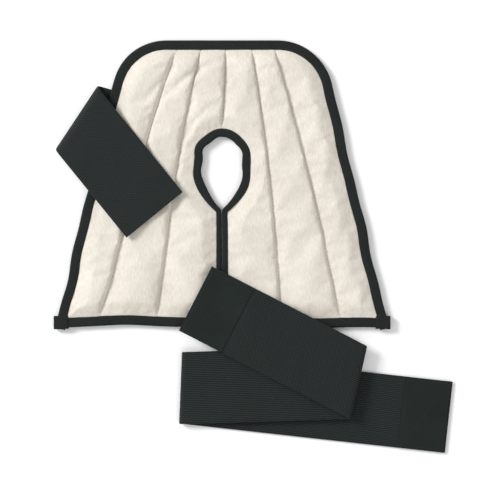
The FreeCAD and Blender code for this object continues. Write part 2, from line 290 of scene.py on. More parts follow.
def plush_cloth():
    """Short brushed pile: streaks along the pad, soft mottling and a warm cream."""
    t = Tree("plush_cloth")
    streaks = t.noise(t.place((1.0, 0.22, 1.0)), 900.0, 4.0, 0.65)
    fibres = t.noise(t.place((1.0, 0.45, 1.0), turn=0.2), 2200.0, 2.0)
    drift = t.noise(t.place(), 26.0, 3.0)
    shade = (streaks * 0.6 + drift * 0.4 - 0.5) * 1.9 + 0.5
    colour = t.mix(shade, (0.53, 0.485, 0.42, 1), (0.82, 0.775, 0.70, 1))
    height = streaks * 0.7 + fibres * 0.3
    return t.finish(colour, 0.92 + fibres * 0.06, height, 0.9 * MM, 0.7,
                    Sheen_Weight=0.08, Sheen_Roughness=0.5, Specular_IOR_Level=0.15)


def back_fabric():
    """Brushed loop cloth of the back: dark, with a fine curly nap."""
    t = Tree("back_fabric")
    nap = t.noise(t.place(), 1500.0, 3.0)
    drift = t.noise(t.place(), 30.0)
    colour = t.mix(nap * 0.6 + drift * 0.4, (0.008, 0.009, 0.009, 1), (0.034, 0.038, 0.037, 1))
    return t.finish(colour, 0.9 + nap * 0.08, nap, 0.6 * MM, 0.7, Sheen_Weight=0.05,
                    Specular_IOR_Level=0.2)


def tape_cloth():
    """Woven binding tape: fine cross ribs, broken by noise, almost black."""
    t = Tree("tape_cloth")
    ribs = t.wave(t.place(uv=True), 420.0, 1.5)
    grain = t.noise(t.place(), 1400.0, 3.0)
    drift = t.noise(t.place(), 60.0)
    colour = t.mix(grain * 0.5 + drift * 0.5, (0.003, 0.0045, 0.0042, 1), (0.017, 0.021, 0.020, 1))
    return t.finish(colour, 0.74 + grain * 0.2, ribs * 0.5 + grain * 0.5, 0.3 * MM, 0.8,
                    Specular_IOR_Level=0.25)


def ribbed_elastic():
    """Woven elastic: ribs along the strap with a finer weft across them, worn a little grey."""
    t = Tree("ribbed_elastic")
    along = t.wave(t.place((0, 1, 0), uv=True), 165.0, 0.6, "Y")
    dashes = t.wave(t.place(turn=0.62, uv=True), 130.0, 1.0, "X")
    streaks = t.noise(t.place((0.25, 1.0, 1.0), uv=True), 900.0, 3.0, 0.6)
    drift = t.noise(t.place(uv=True), 22.0)
    weave = along * 0.5 + dashes * along * 0.3 + streaks * 0.2
    tone = (streaks * 0.3 + drift * 0.1 + along * 0.3 + along * dashes * 0.3) ** 2 * 1.5
    colour = t.mix(tone, (0.0015, 0.003, 0.003, 1), (0.034, 0.045, 0.043, 1))
    return t.finish(colour, 0.66 + streaks * 0.25, weave, 0.6 * MM, 1.0, Specular_IOR_Level=0.25)


def patch_cloth():
    """Smooth, closely woven cloth over the ends of the straps."""
    t = Tree("patch_cloth")
    grain = t.noise(t.place((1.0, 1.0, 1.0), uv=True), 1300.0, 3.0)
    drift = t.noise(t.place(uv=True), 30.0)
    colour = t.mix(grain * 0.45 + drift * 0.55, (0.002, 0.0045, 0.0038, 1), (0.015, 0.022, 0.019, 1))
    return t.finish(colour, 0.78 + grain * 0.15, grain, 0.25 * MM, 0.8, Specular_IOR_Level=0.25)


def gel_film():
    """The gel packs' clear blue film, a little cloudy, over the gel."""
    t = Tree("gel_film")
    cloud = t.noise(t.place(), 60.0, 3.0)
    bubbles = t.noise(t.place(), 420.0, 2.0)
    colour = t.mix(cloud, (0.10, 0.34, 0.52, 1), (0.30, 0.58, 0.72, 1))
    return t.finish(colour, 0.22 + bubbles * 0.15, cloud * 0.6 + bubbles * 0.4, 0.3 * MM, 0.4)


def hook_surface():
    """Hook tape: rows of small stiff hooks, with painted highlights on their tops that stand out as
    bright specks.
    """
    t = Tree("hook_surface")
    cells = t.node("ShaderNodeTexVoronoi", {}, {"Vector": t.place(), "Scale": 900.0}, "Distance")
    peaks = 1 - cells
    # painted highlight: peaks ** 3 paints the hook tops up to ten times lighter than the tape
    colour = t.mix(peaks ** 3, (0.006, 0.006, 0.006, 1), (0.06, 0.06, 0.06, 1))
    return t.finish(colour, 0.45 + cells * 0.2, peaks, 0.5 * MM, 1.0)


def thread():
    """Spun sewing thread: fine twist across each stitch."""
    t = Tree("thread")
    twist = t.noise(t.place(), 2600.0, 2.0)
    colour = t.mix(twist, (0.008, 0.011, 0.011, 1), (0.030, 0.036, 0.034, 1))
    return t.finish(colour, 0.6 + twist * 0.2, twist, 0.1 * MM, 0.5, Specular_IOR_Level=0.3)


def pale_thread():
    """Cream thread in the pad's seams, a shade darker than the pile."""
    t = Tree("pale_thread")
    twist = t.noise(t.place(), 2600.0, 2.0)
    colour = t.mix(twist, (0.36, 0.315, 0.25, 1), (0.56, 0.50, 0.41, 1))
    return t.finish(colour, 0.7 + twist * 0.2, twist, 0.1 * MM, 0.5)


# ------------------------------------------------------------------ shells and skins
def shell(name, top, bottom, material, keep=None, uv=None):
    """A closed shell between two grids of points: both skins, and a wall along every open edge
    of the kept cells. An edge is open when no kept cell runs along it the other way."""
    rows, columns = top.shape[:2]
    count = rows * columns
    cells = grid_faces(rows, columns)
    if keep is not None:
        cells = cells[keep.ravel()]
    edges = np.concatenate([cells[:, [k, (k + 1) % 4]] for k in range(4)])
    single = edges[~np.isin(edges[:, 0] * count + edges[:, 1], edges[:, 1] * count + edges[:, 0])]
    walls = np.stack([single[:, 1], single[:, 0], single[:, 0] + count, single[:, 1] + count], -1)
    faces = np.concatenate([cells, cells[:, ::-1] + count, walls])
    used, faces = np.unique(faces, return_inverse=True)
    points = np.concatenate([top.reshape(-1, 3), bottom.reshape(-1, 3)])[used]
    if uv is not None:
        uv = np.concatenate([uv.reshape(-1, 2), uv.reshape(-1, 2)])[used]
    piece = make_object(name, points, faces.reshape(-1, 4), material, uv=uv)
    harden(piece.data, np.arange(len(piece.data.polygons)) >= 2 * len(cells))
    return piece


def tucked(grid, axis, depth):
    """A grid whose first lines lie under the neighbour it joins: each is a little lower."""
    moved = grid.copy()
    lines = np.moveaxis(moved, axis, 0)
    lines[:TUCK_LINES, :, 2] -= depth * np.linspace(1, 1 / TUCK_LINES, TUCK_LINES)[:, None]
    return moved


def skins(middle, half):
    """The upper and lower skins of a cloth of thickness 2 * half about a grid of middle points,
    offset both ways along the grid's normal: the cross product of its steps across and along."""
    across, along = np.gradient(middle, axis=1), np.gradient(middle, axis=0)
    normal = np.cross(across, along)
    normal /= np.linalg.norm(normal, axis=2, keepdims=True)
    offset = normal * half[..., None]
    return middle + offset, middle - offset


def slab(name, middle, half, material, uv=None):
    """A cloth of thickness 2 * half about a grid of middle points: the shell between its skins."""
    return shell(name, *skins(middle, half), material, uv=uv)


def finer(grid):
    """A grid twice as fine: each new point is (9 (b + c) - a - d) / 16 of the four about it."""
    for axis in (0, 1):
        g = np.moveaxis(grid, axis, 0)
        g = np.concatenate([2 * g[:1] - g[1:2], g, 2 * g[-1:] - g[-2:-1]])
        new = (9 * (g[1:-2] + g[2:-1]) - g[:-3] - g[3:]) / 16
        out = np.empty((2 * len(g) - 5,) + g.shape[1:])
        out[0::2], out[1::2] = g[1:-1], new
        grid = np.moveaxis(out, 0, axis)
    return grid


def three_point_arc(first, middle, last, count):
    """Points along the circle through three points: its centre is equally far from all three."""
    a, b, c = (np.array(p, float) for p in (first, middle, last))
    centre = np.linalg.solve(2 * np.array([b - a, c - a]), [b @ b - a @ a, c @ c - a @ a])
    turn = np.unwrap([math.atan2(*(p - centre)[::-1]) for p in (a, b, c)])
    angles = np.linspace(turn[0], turn[2], count)
    radius = np.linalg.norm(a - centre)
    return centre + radius * np.stack([np.cos(angles), np.sin(angles)], -1)


def evenly(path, spacing):
    """The same line with its points evenly spaced along its length."""
    steps = np.concatenate([[0], np.cumsum(np.linalg.norm(np.diff(path, axis=0), axis=1))])
    count = max(int(round(steps[-1] / spacing)), 2)
    at = np.linspace(0, steps[-1], count + 1)
    return np.stack([np.interp(at, steps, path[:, k]) for k in range(path.shape[1])], -1)


# ------------------------------------------------------------------ the pad's outlines
SLOPE_LENGTH = math.hypot(1, PAD_SLOPE)


def side_x(y):
    """Half the pad's width at a height: its straight sides lean inwards."""
    return PAD_WIDTH / 2 - PAD_SLOPE * y


def edge_distance(x, y):
    """How far inside the pad's outline a point lies: the least of its distances from the hem,
    the top and the side, or, in a rounded corner, the radius less its distance from the centre."""
    x = np.abs(x)
    side = (side_x(y) - x) / SLOPE_LENGTH
    flat = np.minimum(np.minimum(y, PAD_HEIGHT - y), side)
    centre_y = PAD_HEIGHT - CORNER_RADIUS
    centre_x = side_x(centre_y) - CORNER_RADIUS * SLOPE_LENGTH
    dx, dy = x - centre_x, y - centre_y
    corner = (dx > 0) & (dy - PAD_SLOPE * dx > 0)
    return np.where(corner, CORNER_RADIUS - np.hypot(dx, dy), flat)


def hole_side(count=90):
    """The keyhole's right edge from its point up to its crown: a flank and a quarter circle."""
    flank = three_point_arc((0, HOLE_POINT_Y), HOLE_FLANK, (HOLE_RADIUS, HOLE_CENTRE_Y), count)
    angles = np.linspace(0, math.pi / 2, count)
    crown = np.stack([HOLE_RADIUS * np.cos(angles), HOLE_CENTRE_Y + HOLE_RADIUS * np.sin(angles)], -1)
    return np.concatenate([flank, crown[1:]])


def hole_distance(x, y):
    """How far outside the keyhole a point lies, negative inside it: the nearest of its points."""
    side = hole_side(60)
    gap = np.hypot(np.abs(x)[..., None] - side[:, 0], y[..., None] - side[:, 1]).min(-1)
    inside = np.abs(x) < np.interp(y, side[:, 1], side[:, 0], left=0, right=0)
    return np.where(inside, -gap, gap)


def slit_distance(x, y):
    """How far from the slit's edge a point lies: the distance to a line up to the keyhole."""
    return np.hypot(x, np.maximum(y - HOLE_POINT_Y, 0)) - SLIT_HALF


def open_plush(x, y):
    """How far a point lies from the nearest tape's inner edge, out on the open plush."""
    return np.minimum(np.minimum(edge_distance(x, y) - TAPE_WIDTH,
                                 hole_distance(x, y) - HOLE_TAPE_WIDTH),
                      slit_distance(x, y) - SLIT_TAPE_WIDTH)


def settle(points):
    """The pad doesn't lie quite true: its hem bows up near the left corner, its sides waver,
    and the whole pad follows, less and less towards its middle."""
    x, y = points[..., 0], points[..., 1]
    moved = points.copy()
    low = np.exp(-(y / (70 * MM)) ** 2)
    bow = np.exp(-((x + 98 * MM) / (32 * MM)) ** 2)
    moved[..., 1] += (3.4 * MM * bow - 0.5 * MM * np.cos(x / (15 * MM))) * low
    outer = smooth(np.abs(x), 60 * MM, 165 * MM)
    waver = np.sin(y / (17 * MM) + np.sign(x)) + 0.7 * np.sin(y / (8.5 * MM) + 2)
    moved[..., 0] += 0.85 * MM * waver * outer
    near = np.exp(-(np.maximum(hole_distance(x, y), 0) / (14 * MM)) ** 2)
    around = np.arctan2(y - HOLE_CENTRE_Y, x)
    moved[..., 0] += 0.8 * MM * near * np.sin(6 * around + 0.7)
    moved[..., 1] += 0.8 * MM * near * np.sin(5 * around)
    return moved


# ------------------------------------------------------------------ the pad's channels
def seam_line(seam, bow=0.0, twist=0.0):
    """A seam as a function of the share of the pad's height: straight, plus a bow and a twist."""
    def line(share):
        """The seam's x at a share of the height."""
        straight = seam[0] + (seam[1] - seam[0]) * share
        return straight + bow * np.sin(math.pi * share) + twist * np.sin(2 * math.pi * share)
    return line


CHANNEL_LINES = [
    lambda share: -side_x(share * PAD_HEIGHT),
    seam_line(SEAM_LEFT_OUTER, -3.0 * MM, 1.6 * MM),
    seam_line((SEAM_LEFT_INNER[0], SEAM_LEFT_INNER[1] + 4.5 * MM), -5.2 * MM, 1.0 * MM),
    lambda share: 3.5 * MM * smooth(share, 0.66, 0.95),
    seam_line((SEAM_RIGHT_INNER[0], SEAM_RIGHT_INNER[1] - 4.5 * MM), 4.6 * MM),
    seam_line(SEAM_RIGHT_OUTER, 4.0 * MM),
    lambda share: side_x(share * PAD_HEIGHT),
]
CHANNEL_CELLS = (18, 26, 28, 26, 26, 20)
ROW_CELLS = 126
LEFT_CUT = CHANNEL_CELLS[0] + CHANNEL_CELLS[1] // 2
CENTRE_CUT = sum(CHANNEL_CELLS[:3])
FRONT_BASE = BACK_LEVEL + 2.7 * MM


def channel_grid():
    """Points over the whole pad whose columns run along the seams, and how far each point is
    across its own channel, from 0 at one seam to 1 at the next."""
    share = np.linspace(0, 1, ROW_CELLS + 1)[:, None]
    columns, across = [], []
    for left, right, cells in zip(CHANNEL_LINES, CHANNEL_LINES[1:], CHANNEL_CELLS):
        u = np.arange(cells) / cells
        columns.append(left(share) + (right(share) - left(share)) * u)
        across.append(np.broadcast_to(u, (len(share), cells)))
    columns.append(CHANNEL_LINES[-1](share))
    across.append(np.ones((len(share), 1)))
    x = np.concatenate(columns, 1)
    return x, np.broadcast_to(share * PAD_HEIGHT, x.shape), np.concatenate(across, 1)


def crease(x, y, points, width, depth):
    """A soft valley along the arc through three points, of Gaussian section, fading at its ends."""
    arc = three_point_arc(*points, 60)
    gaps = np.hypot(x[..., None] - arc[:, 0], y[..., None] - arc[:, 1])
    fade = np.sin(np.linspace(0.12, math.pi - 0.12, 60)) ** 0.5
    return -depth * (fade * np.exp(-(gaps / width) ** 2)).max(-1)


def front_height(x, y, across):
    """Height of the plush: a crown over each channel, (1 - (1 - u)^3.2)^0.75 (1 - u^14)^0.5, gentle
    on its left and steep on its right, that falls off towards the tapes, with puckers that run
    out from the seams and a few soft creases."""
    out = open_plush(x, y)
    crown = (np.clip(1 - (1 - across) ** 3.2, 0, 1) ** 0.75
             * np.clip(1 - across ** 14, 0, 1) ** 0.5)
    rise = smooth(out, -1.5 * MM, 16 * MM) ** 0.7
    base = FRONT_BASE + 0.9 * MM * smooth(out, -4 * MM, 0.5 * MM)
    puff = (CROWN_LEVEL - FRONT_BASE - 1.7 * MM) * crown * rise
    pucker = np.sin(y / (3.1 * MM) + 2.5 * waves(x, y, 3, 60 * MM)) * np.exp(-crown * 2.2)
    folds = crease(x, y, ((-60 * MM, 238 * MM), (-30 * MM, 265 * MM), (10 * MM, 283 * MM)),
                   4.5 * MM, 2.0 * MM)
    folds += crease(x, y, ((-8 * MM, 233 * MM), (-33 * MM, 208 * MM), (-47 * MM, 165 * MM)),
                    5 * MM, 1.5 * MM)
    folds += crease(x, y, ((4 * MM, 214 * MM), (24 * MM, 203 * MM), (38 * MM, 178 * MM)),
                    5 * MM, 1.1 * MM)
    folds += crease(x, y, ((-84 * MM, 232 * MM), (-71 * MM, 247 * MM), (-60 * MM, 262 * MM)),
                    4 * MM, 1.2 * MM)
    uneven = 0.3 * MM * waves(x, y * 0.4, 11, 40 * MM, 2)
    return base + puff + (0.12 * MM * pucker + folds + uneven) * rise


def simulate(points, pinned):
    """Blender's cloth on the plush: a little too much cloth between its stitched lines, blown
    gently from below. Returns where its points come to rest, each moved by at most the cap."""
    rows, columns = points.shape[:2]
    sheet = make_object("cloth_trial", points.reshape(-1, 3), grid_faces(rows, columns), plush)
    pins = sheet.vertex_groups.new(name="pins")
    pins.add([int(i) for i in np.flatnonzero(pinned.ravel())], 1.0, "REPLACE")
    cloth = sheet.modifiers.new("cloth", "CLOTH")
    cloth.settings.vertex_group_mass = "pins"
    cloth.settings.quality = 4
    cloth.settings.mass = 0.25
    cloth.settings.tension_stiffness = cloth.settings.compression_stiffness = 20
    cloth.settings.bending_stiffness = 12
    cloth.settings.shrink_min = -0.006
    cloth.settings.use_pressure = True
    cloth.settings.uniform_pressure_force = 0.35
    cloth.settings.effector_weights.gravity = 0
    cloth.collision_settings.use_collision = False
    scene = bpy.context.scene
    for step in range(1, CLOTH_STEPS + 1):
        scene.frame_set(step)
    settled = sheet.evaluated_get(bpy.context.evaluated_depsgraph_get()).to_mesh()
    result = np.zeros(len(settled.vertices) * 3)
    settled.vertices.foreach_get("co", result)
    scene.frame_set(1)
    bpy.data.objects.remove(sheet)
    move = result.reshape(points.shape) - points
    size = np.linalg.norm(move, axis=2, keepdims=True)
    return points + move * (CLOTH_CAP * np.tanh(size / CLOTH_CAP) / np.maximum(size, 1e-9))


def hinge(name, half_width):
    """Two points about a fold joint: a point of its axis, less and plus half the given width, square to
    the axis and level."""
    found = joint(name)
    middle, axis = np.array(found["pos_m"], float), np.array(found["axis"], float)
    side = np.cross(axis, (0, 0, 1))
    side *= math.copysign(half_width, side[0]) / np.linalg.norm(side)
    return middle - side, middle + side


LEFT_OUTER_BAND = hinge("left_outer_fold", half_width=11 * MM)
LEFT_INNER_BAND = hinge("left_inner_fold", half_width=11 * MM)
RIGHT_OUTER_BAND = hinge("right_outer_fold", half_width=14 * MM)


def bend(piece):
    """Bakes a pad piece's transform into its mesh."""
    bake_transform(piece)


def make_pad():
    """The plush face and the back cloth, each in three sections that meet in a channel's middle
    or at the middle seam."""
    x, y, across = channel_grid()
    points = np.stack([x, y, front_height(x, y, across)], -1)
    out = open_plush(x, y)
    seams = np.cumsum((0,) + CHANNEL_CELLS)
    pinned = out < 1.5 * MM
    pinned[:, seams] = True
    points = simulate(points, pinned)
    fine = finer(points)
    fine_x, fine_y = finer(np.stack([x, y], -1)).transpose(2, 0, 1)

    def inside(px, py, margin, slit_margin):
        """The cells whose middles, the mean of their corners, clear the pad's edges."""
        cx = (px[:-1, :-1] + px[1:, 1:] + px[1:, :-1] + px[:-1, 1:]) / 4
        cy = (py[:-1, :-1] + py[1:, 1:] + py[1:, :-1] + py[:-1, 1:]) / 4
        return ((edge_distance(cx, cy) > margin) & (hole_distance(cx, cy) > margin)
                & (slit_distance(cx, cy) > slit_margin))

    keep = inside(fine_x, fine_y, 3.2 * MM, 1.8 * MM)
    keep_back = inside(x, y, 3.6 * MM, 2.0 * MM)
    under = fine.copy()
    under[..., 2] = PLUSH_UNDERSIDE
    dip = np.exp(-((1 - np.abs(2 * across - 1)) / 0.07) ** 2)
    back_low = np.stack([x, y, BACK_LEVEL + 0.5 * MM * dip], -1)
    back_high = np.stack([x, y, np.full(x.shape, BACK_LEVEL + BACK_THICKNESS)], -1)
    cuts = {"left": (0, LEFT_CUT), "centre": (LEFT_CUT, CENTRE_CUT),
            "right": (CENTRE_CUT, sum(CHANNEL_CELLS))}
    owned = {"left": ("left_outer",), "centre": ("left_mid", "left_inner"),
             "right": ("right_inner", "right_mid", "right_outer")}
    backs = {"left": ("left_outer",), "centre": ("left_mid",), "right": ("centre", "right_outer")}
    for section, (first, last) in cuts.items():
        a, b = 2 * first, 2 * last
        skin = fine[:, a:b + 1]
        if section == "centre":
            a -= TUCK_LINES
            skin = tucked(fine[:, a:b + 1], 1, 0.25 * MM)
        face = shell("plush_face_" + section, place_pad(skin), place_pad(under[:, a:b + 1]),
                     plush, keep[:, a:b])
        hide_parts(*["plush_" + n for n in owned[section]])
        bend(face)
        back = shell("back_face_" + section, place_pad(back_high[:, first:last + 1]),
                     place_pad(back_low[:, first:last + 1]), back_cloth, keep_back[:, first:last])
        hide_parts(*["back_cloth_" + n for n in backs[section]])
        bend(back)
    make_gel_packs(points, out, seams)
    make_seam_stitching(fine, finer(out[..., None])[..., 0], seams)


def make_gel_packs(points, out, seams):
    """The sealed gel pack in each channel: the channel's own grid kept back from its seams and
    tapes, from just under the plush down to just over the back, its rim drawn in."""
    names = ("left_outer", "left_mid", "left_inner", "right_inner", "right_mid", "right_outer")
    sections = ("left", "left", "centre", "right", "right", "right")
    for name, section, first, last in zip(names, sections, seams, seams[1:]):
        grid = points[:, first:last + 1]
        width = (grid[:, -1, 0] - grid[:, 0, 0])[:, None]
        u = np.linspace(0, 1, last - first + 1)
        rim = np.minimum(np.minimum(u, 1 - u) * width - GEL_MARGIN,
                         out[:, first:last + 1] - GEL_MARGIN / 2)
        fill = np.sqrt(smooth(rim, -1 * MM, 7 * MM))
        low, high = grid.copy(), grid.copy()
        room = np.maximum(grid[..., 2] - PLUSH_THICKNESS - GEL_MIDDLE, 0.3 * MM)
        high[..., 2] = GEL_MIDDLE + room * fill
        low[..., 2] = GEL_MIDDLE - 1.5 * MM * fill
        cells = (rim[:-1, :-1] > 0) & (rim[1:, 1:] > 0) & (rim[1:, :-1] > 0) & (rim[:-1, 1:] > 0)
        pack = shell("gel_fill_" + name, place_pad(high), place_pad(low), gel, cells)
        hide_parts("gel_pack_" + name)
        bend(pack)


def make_seam_stitching(fine, out, seams):
    """A row of stitches down each seam of the plush, wherever the seam lies open."""
    sections = ("left", "centre", "centre", "right", "right")
    names = ("left_outer", "left_inner", "middle", "right_inner", "right_outer")
    for name, section, seam in zip(names, sections, seams[1:-1]):
        line, shown = fine[:, 2 * seam], out[:, 2 * seam] > -1 * MM
        line = line[shown] + (0, 0, 0.1 * MM)
        sewn = stitches("seam_stitching_" + name, place_pad(line), 3.6 * MM, 2.9 * MM, 0.3 * MM,
                        seam_thread)
        bend(sewn)


def place_pad(points):
    """Points of the flat pad, settled and moved to the frame."""
    return to_frame(settle(points))


# ------------------------------------------------------------------ binding tapes
def lefthand(path):
    """The unit normal on the left of a path, from the average of the steps about each point."""
    step = np.gradient(path, axis=0)
    normal = np.stack([-step[:, 1], step[:, 0]], -1)
    return normal / np.linalg.norm(normal, axis=1, keepdims=True)


TAPE_MIDDLE = (TAPE_LOW + TAPE_HIGH) / 2
TAPE_HALF = (TAPE_HIGH - TAPE_LOW) / 2


def tape_profile(width, count=15):
    """The tape's section as it wraps the pad's edge, as (across, up) pairs for each width given:
    a rounded outer fold, a slightly domed leg above and below, and inner edges tucked into the
    pile."""
    t = np.linspace(0, 1, count)
    outer = 1 - np.clip(t / 0.22, 0, 1)
    rise = np.sqrt(1 - outer ** 2)
    groove = 0.10 * np.exp(-((t - 0.80) / 0.05) ** 2)
    inner = 1 - 0.42 * smooth(t, 0.93, 1.0)
    top = TAPE_HALF * (rise * inner * (1 + 0.05 * np.sin(math.pi * t)) - groove)
    across = np.concatenate([t, t[-1::-1]])
    up = np.concatenate([top, -top[::-1]])
    return np.stack([across[None, :] * width[:, None],
                     np.broadcast_to(up, (len(width), len(up)))], -1)


def tape(name, path, widths, material, node_names):
    """Binding tape along an edge: its section is carried along the path, on the path's left."""
    normal = lefthand(path)
    ring = tape_profile(widths)
    along = np.concatenate([[0], np.cumsum(np.linalg.norm(np.diff(path, axis=0), axis=1))])
    wobble = 0.25 * MM * waves(path[:, 0], path[:, 1], 21, 26 * MM)
    x = path[:, None, 0] + normal[:, None, 0] * ring[..., 0]
    y = path[:, None, 1] + normal[:, None, 1] * ring[..., 0]
    z = TAPE_MIDDLE + ring[..., 1] + np.where(ring[..., 1] > 0, wobble[:, None], 0)
    points = place_pad(np.stack([x, y, z], -1))
    uv = np.stack([np.broadcast_to(along[:, None], ring.shape[:2]), ring[..., 0]], -1)
    piece = swept(name, points, material, uv=uv.reshape(-1, 2))
    harden(piece.data, np.arange(len(piece.data.polygons)) >= len(piece.data.polygons) - 2)
    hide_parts(*node_names)
    return piece


def border_path():
    """The outline from the lower right corner up, over the top and down to the lower left."""
    centre_y = PAD_HEIGHT - CORNER_RADIUS
    centre_x = side_x(centre_y) - CORNER_RADIUS * SLOPE_LENGTH
    angles = np.linspace(math.atan2(PAD_SLOPE, 1), math.pi / 2, 60)
    corner = np.stack([centre_x + CORNER_RADIUS * np.cos(angles),
                       centre_y + CORNER_RADIUS * np.sin(angles)], -1)
    right = np.concatenate([[(side_x(0), 0)], corner])
    left = right[::-1] * (-1, 1)
    return evenly(np.concatenate([right, left]), 2 * MM)


def keyhole_path():
    """Up the slit's left edge, over the keyhole and down the slit's right edge."""
    right = hole_side()[1:]
    stem_top = HOLE_POINT_Y - 2 * MM
    stem = np.array([(SLIT_HALF, 0.0), (SLIT_HALF, stem_top)])
    right = np.concatenate([stem, right[right[:, 0] > 1.2 * SLIT_HALF]])
    left = right * (-1, 1)
    return evenly(np.concatenate([left, right[-2::-1]]), 1.5 * MM)


def stitches(name, path, spacing, length, radius, material):
    """Short threads end to end along a path: each is a hexagonal bead, thin at its ends, that
    dips under at both."""
    ends = evenly(path, spacing)
    middle = (ends[1:] + ends[:-1]) / 2
    along = ends[1:] - ends[:-1]
    along /= np.linalg.norm(along, axis=1, keepdims=True)
    side = np.cross((0, 0, 1.0), along)
    side /= np.linalg.norm(side, axis=1, keepdims=True)
    up = np.cross(along, side)
    t = np.array([-1.0, -0.8, 0, 0.8, 1.0])
    thick = np.array([0.15, 0.8, 1.0, 0.8, 0.15]) * radius
    rounds, sides = len(t), 6
    corners = rounds * sides
    angles = np.arange(sides) * 2 * math.pi / sides
    rings = (middle[:, None, None] + along[:, None, None] * (t * length / 2)[:, None, None]
             + side[:, None, None] * (thick[:, None] * np.cos(angles))[..., None]
             + up[:, None, None] * (thick[:, None] * np.sin(angles)
                                    - 0.9 * radius * (t ** 2)[:, None])[..., None])
    one = [tuple(f) for f in grid_faces(rounds, sides, around=True)]
    one += [tuple(range(sides))[::-1], tuple(range(corners - sides, corners))]
    faces = [tuple(v + corners * k for v in f) for k in range(len(middle)) for f in one]
    piece = make_object(name, rings.reshape(-1, 3), faces, material)
    return piece


def make_tapes():
    """Border, hem and keyhole tapes, cut where the pad's sections meet, with their stitching."""
    border = border_path()
    left_x = (CHANNEL_LINES[1](1.0) + CHANNEL_LINES[2](1.0)) / 2
    top = border[:, 1] > PAD_HEIGHT / 2
    first = int(np.flatnonzero(top & (border[:, 0] < 14 * MM))[0])
    second = int(np.flatnonzero(top & (border[:, 0] < left_x))[0])
    full = np.full(len(border), TAPE_WIDTH)
    pieces = [("right", border[:first + 1], ("right_outer",)),
              ("centre", border[first:second + 1], ("centre", "left_mid")),
              ("left", border[second:], ("left_outer",))]
    for section, path, owned in pieces:
        made = tape("border_" + section, path, full[:len(path)], tape_cloth_material,
                    ["border_tape_" + n for n in owned])
        bend(made)
    channel = (CHANNEL_LINES[1](0.0) + CHANNEL_LINES[2](0.0)) / 2
    inset = SLIT_HALF + SLIT_TAPE_WIDTH - 1.0 * MM
    edges = {"left": (-PAD_WIDTH / 2, channel), "centre": (channel, -inset),
             "right": (inset, PAD_WIDTH / 2)}
    owned = {"left": ("left_outer",), "centre": ("left_mid", "left_inner"),
             "right": ("right_inner", "right_outer")}
    for section, (start, end) in edges.items():
        path = evenly(np.array([(start, 0.0), (end, 0.0)]), 2 * MM)
        made = tape("hem_" + section, path, np.full(len(path), TAPE_WIDTH), tape_cloth_material,
                    ["hem_tape_" + n for n in owned[section]])
        bend(made)
    path = keyhole_path()
    wide = smooth(path[:, 1], HOLE_POINT_Y - 4 * MM, HOLE_POINT_Y + 26 * MM)
    widths = SLIT_TAPE_WIDTH + (HOLE_TAPE_WIDTH - SLIT_TAPE_WIDTH) * wide
    made = tape("keyhole_binding", path, widths, tape_cloth_material, ["keyhole_tape"])
    bend(made)

    def row(name, line, widths, inset):
        """Stitching along a tape, an inset short of its inner edge."""
        inner = line + lefthand(line) * (widths - inset)[:, None]
        lifted = np.concatenate([inner, np.full((len(inner), 1), TAPE_HIGH + 0.02 * MM)], 1)
        sewn = stitches(name, place_pad(lifted), 3.4 * MM, 2.7 * MM, 0.28 * MM, thread_material)
        bend(sewn)

    for section, line, _ in pieces:
        row("border_stitching_" + section, line, full[:len(line)], 2.0 * MM)
    for section, (start, end) in edges.items():
        line = evenly(np.array([(start + 4 * MM, 0.0), (end - 4 * MM, 0.0)]), 2 * MM)
        row("hem_stitching_" + section, line, np.full(len(line), TAPE_WIDTH), 2.0 * MM)
    row("keyhole_stitching", path, widths, 1.6 * MM)


def make_corner_tabs():
    """A turn of tape over each lower corner: a block of superellipse section, its edges soft,
    with a fold line near its inner end."""
    stations, points_round = 25, 40
    for name, sign in (("left", -1), ("right", 1)):
        low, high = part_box("corner_tab_" + name)
        t = np.linspace(0, 1, stations)
        ease = np.clip(np.minimum(t, 1 - t) / 0.10, 0, 1)
        swell = 0.90 + 0.10 * np.sqrt(1 - (1 - ease) ** 2)
        step = 1 + 0.035 * (smooth(t, 0.70, 0.74) if sign < 0 else smooth(-t, -0.30, -0.26))
        swell = swell * step / step.max()
        angles = np.linspace(0, 2 * math.pi, points_round + 1)[:-1]
        cos, sin = np.cos(angles), np.sin(angles)
        ring_y = np.sign(cos) * np.abs(cos) ** 0.35
        ring_z = np.sign(sin) * np.abs(sin) ** 0.45
        centre, half = (low + high) / 2, (high - low) / 2
        x = np.broadcast_to((low.x + (high.x - low.x) * t)[:, None], (stations, points_round))
        y = centre.y + half.y * ring_y[None, :] * (0.97 + 0.03 * swell[:, None])
        z = centre.z + half.z * ring_z[None, :] * swell[:, None]
        points = np.stack([x, y, z], -1)[:, ::-1]
        points[..., 1] += 0.3 * MM * np.sin(points[..., 0] / (4 * MM))
        uv = np.stack([points[..., 1], points[..., 0]], -1).reshape(-1, 2)
        made = swept("corner_wrap_" + name, points, tape_cloth_material, uv=uv)
        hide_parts("corner_tab_" + name)
        bend(made)


# ------------------------------------------------------------------ straps
def turned(points, axis_point, outward, radius):
    """Flat points folded over a line: those short of it stay, the next pi r wrap round it, and
    the rest come back on the other side, 2 r higher."""
    reach = (points[..., :2] - axis_point) @ outward
    wrap = np.clip(reach / radius, 0, math.pi)
    past = np.maximum(reach - math.pi * radius, 0)
    moved = points.copy()
    shift = -np.maximum(reach, 0) + np.where(reach > 0, radius * np.sin(wrap), 0) - past
    moved[..., :2] += shift[..., None] * outward
    moved[..., 2] += radius * (1 - np.cos(wrap))
    return moved


def flat_strip(start, angle, length, spacing, level):
    """A strap laid flat: distances along it and across it, closer at its edges, and its points."""
    along = np.linspace(0, length, int(length / spacing) + 1)
    t = np.concatenate([[-1, -0.992], np.linspace(-0.97, 0.97, 35), [0.992, 1]]) * STRAP_WIDTH / 2
    s, t = np.meshgrid(along, t, indexing="ij")
    place = np.asarray(start) + s[..., None] * unit(angle) + t[..., None] * -unit(angle + math.pi / 2)
    return s, t, np.concatenate([place, np.full(s.shape + (1,), level)], -1)


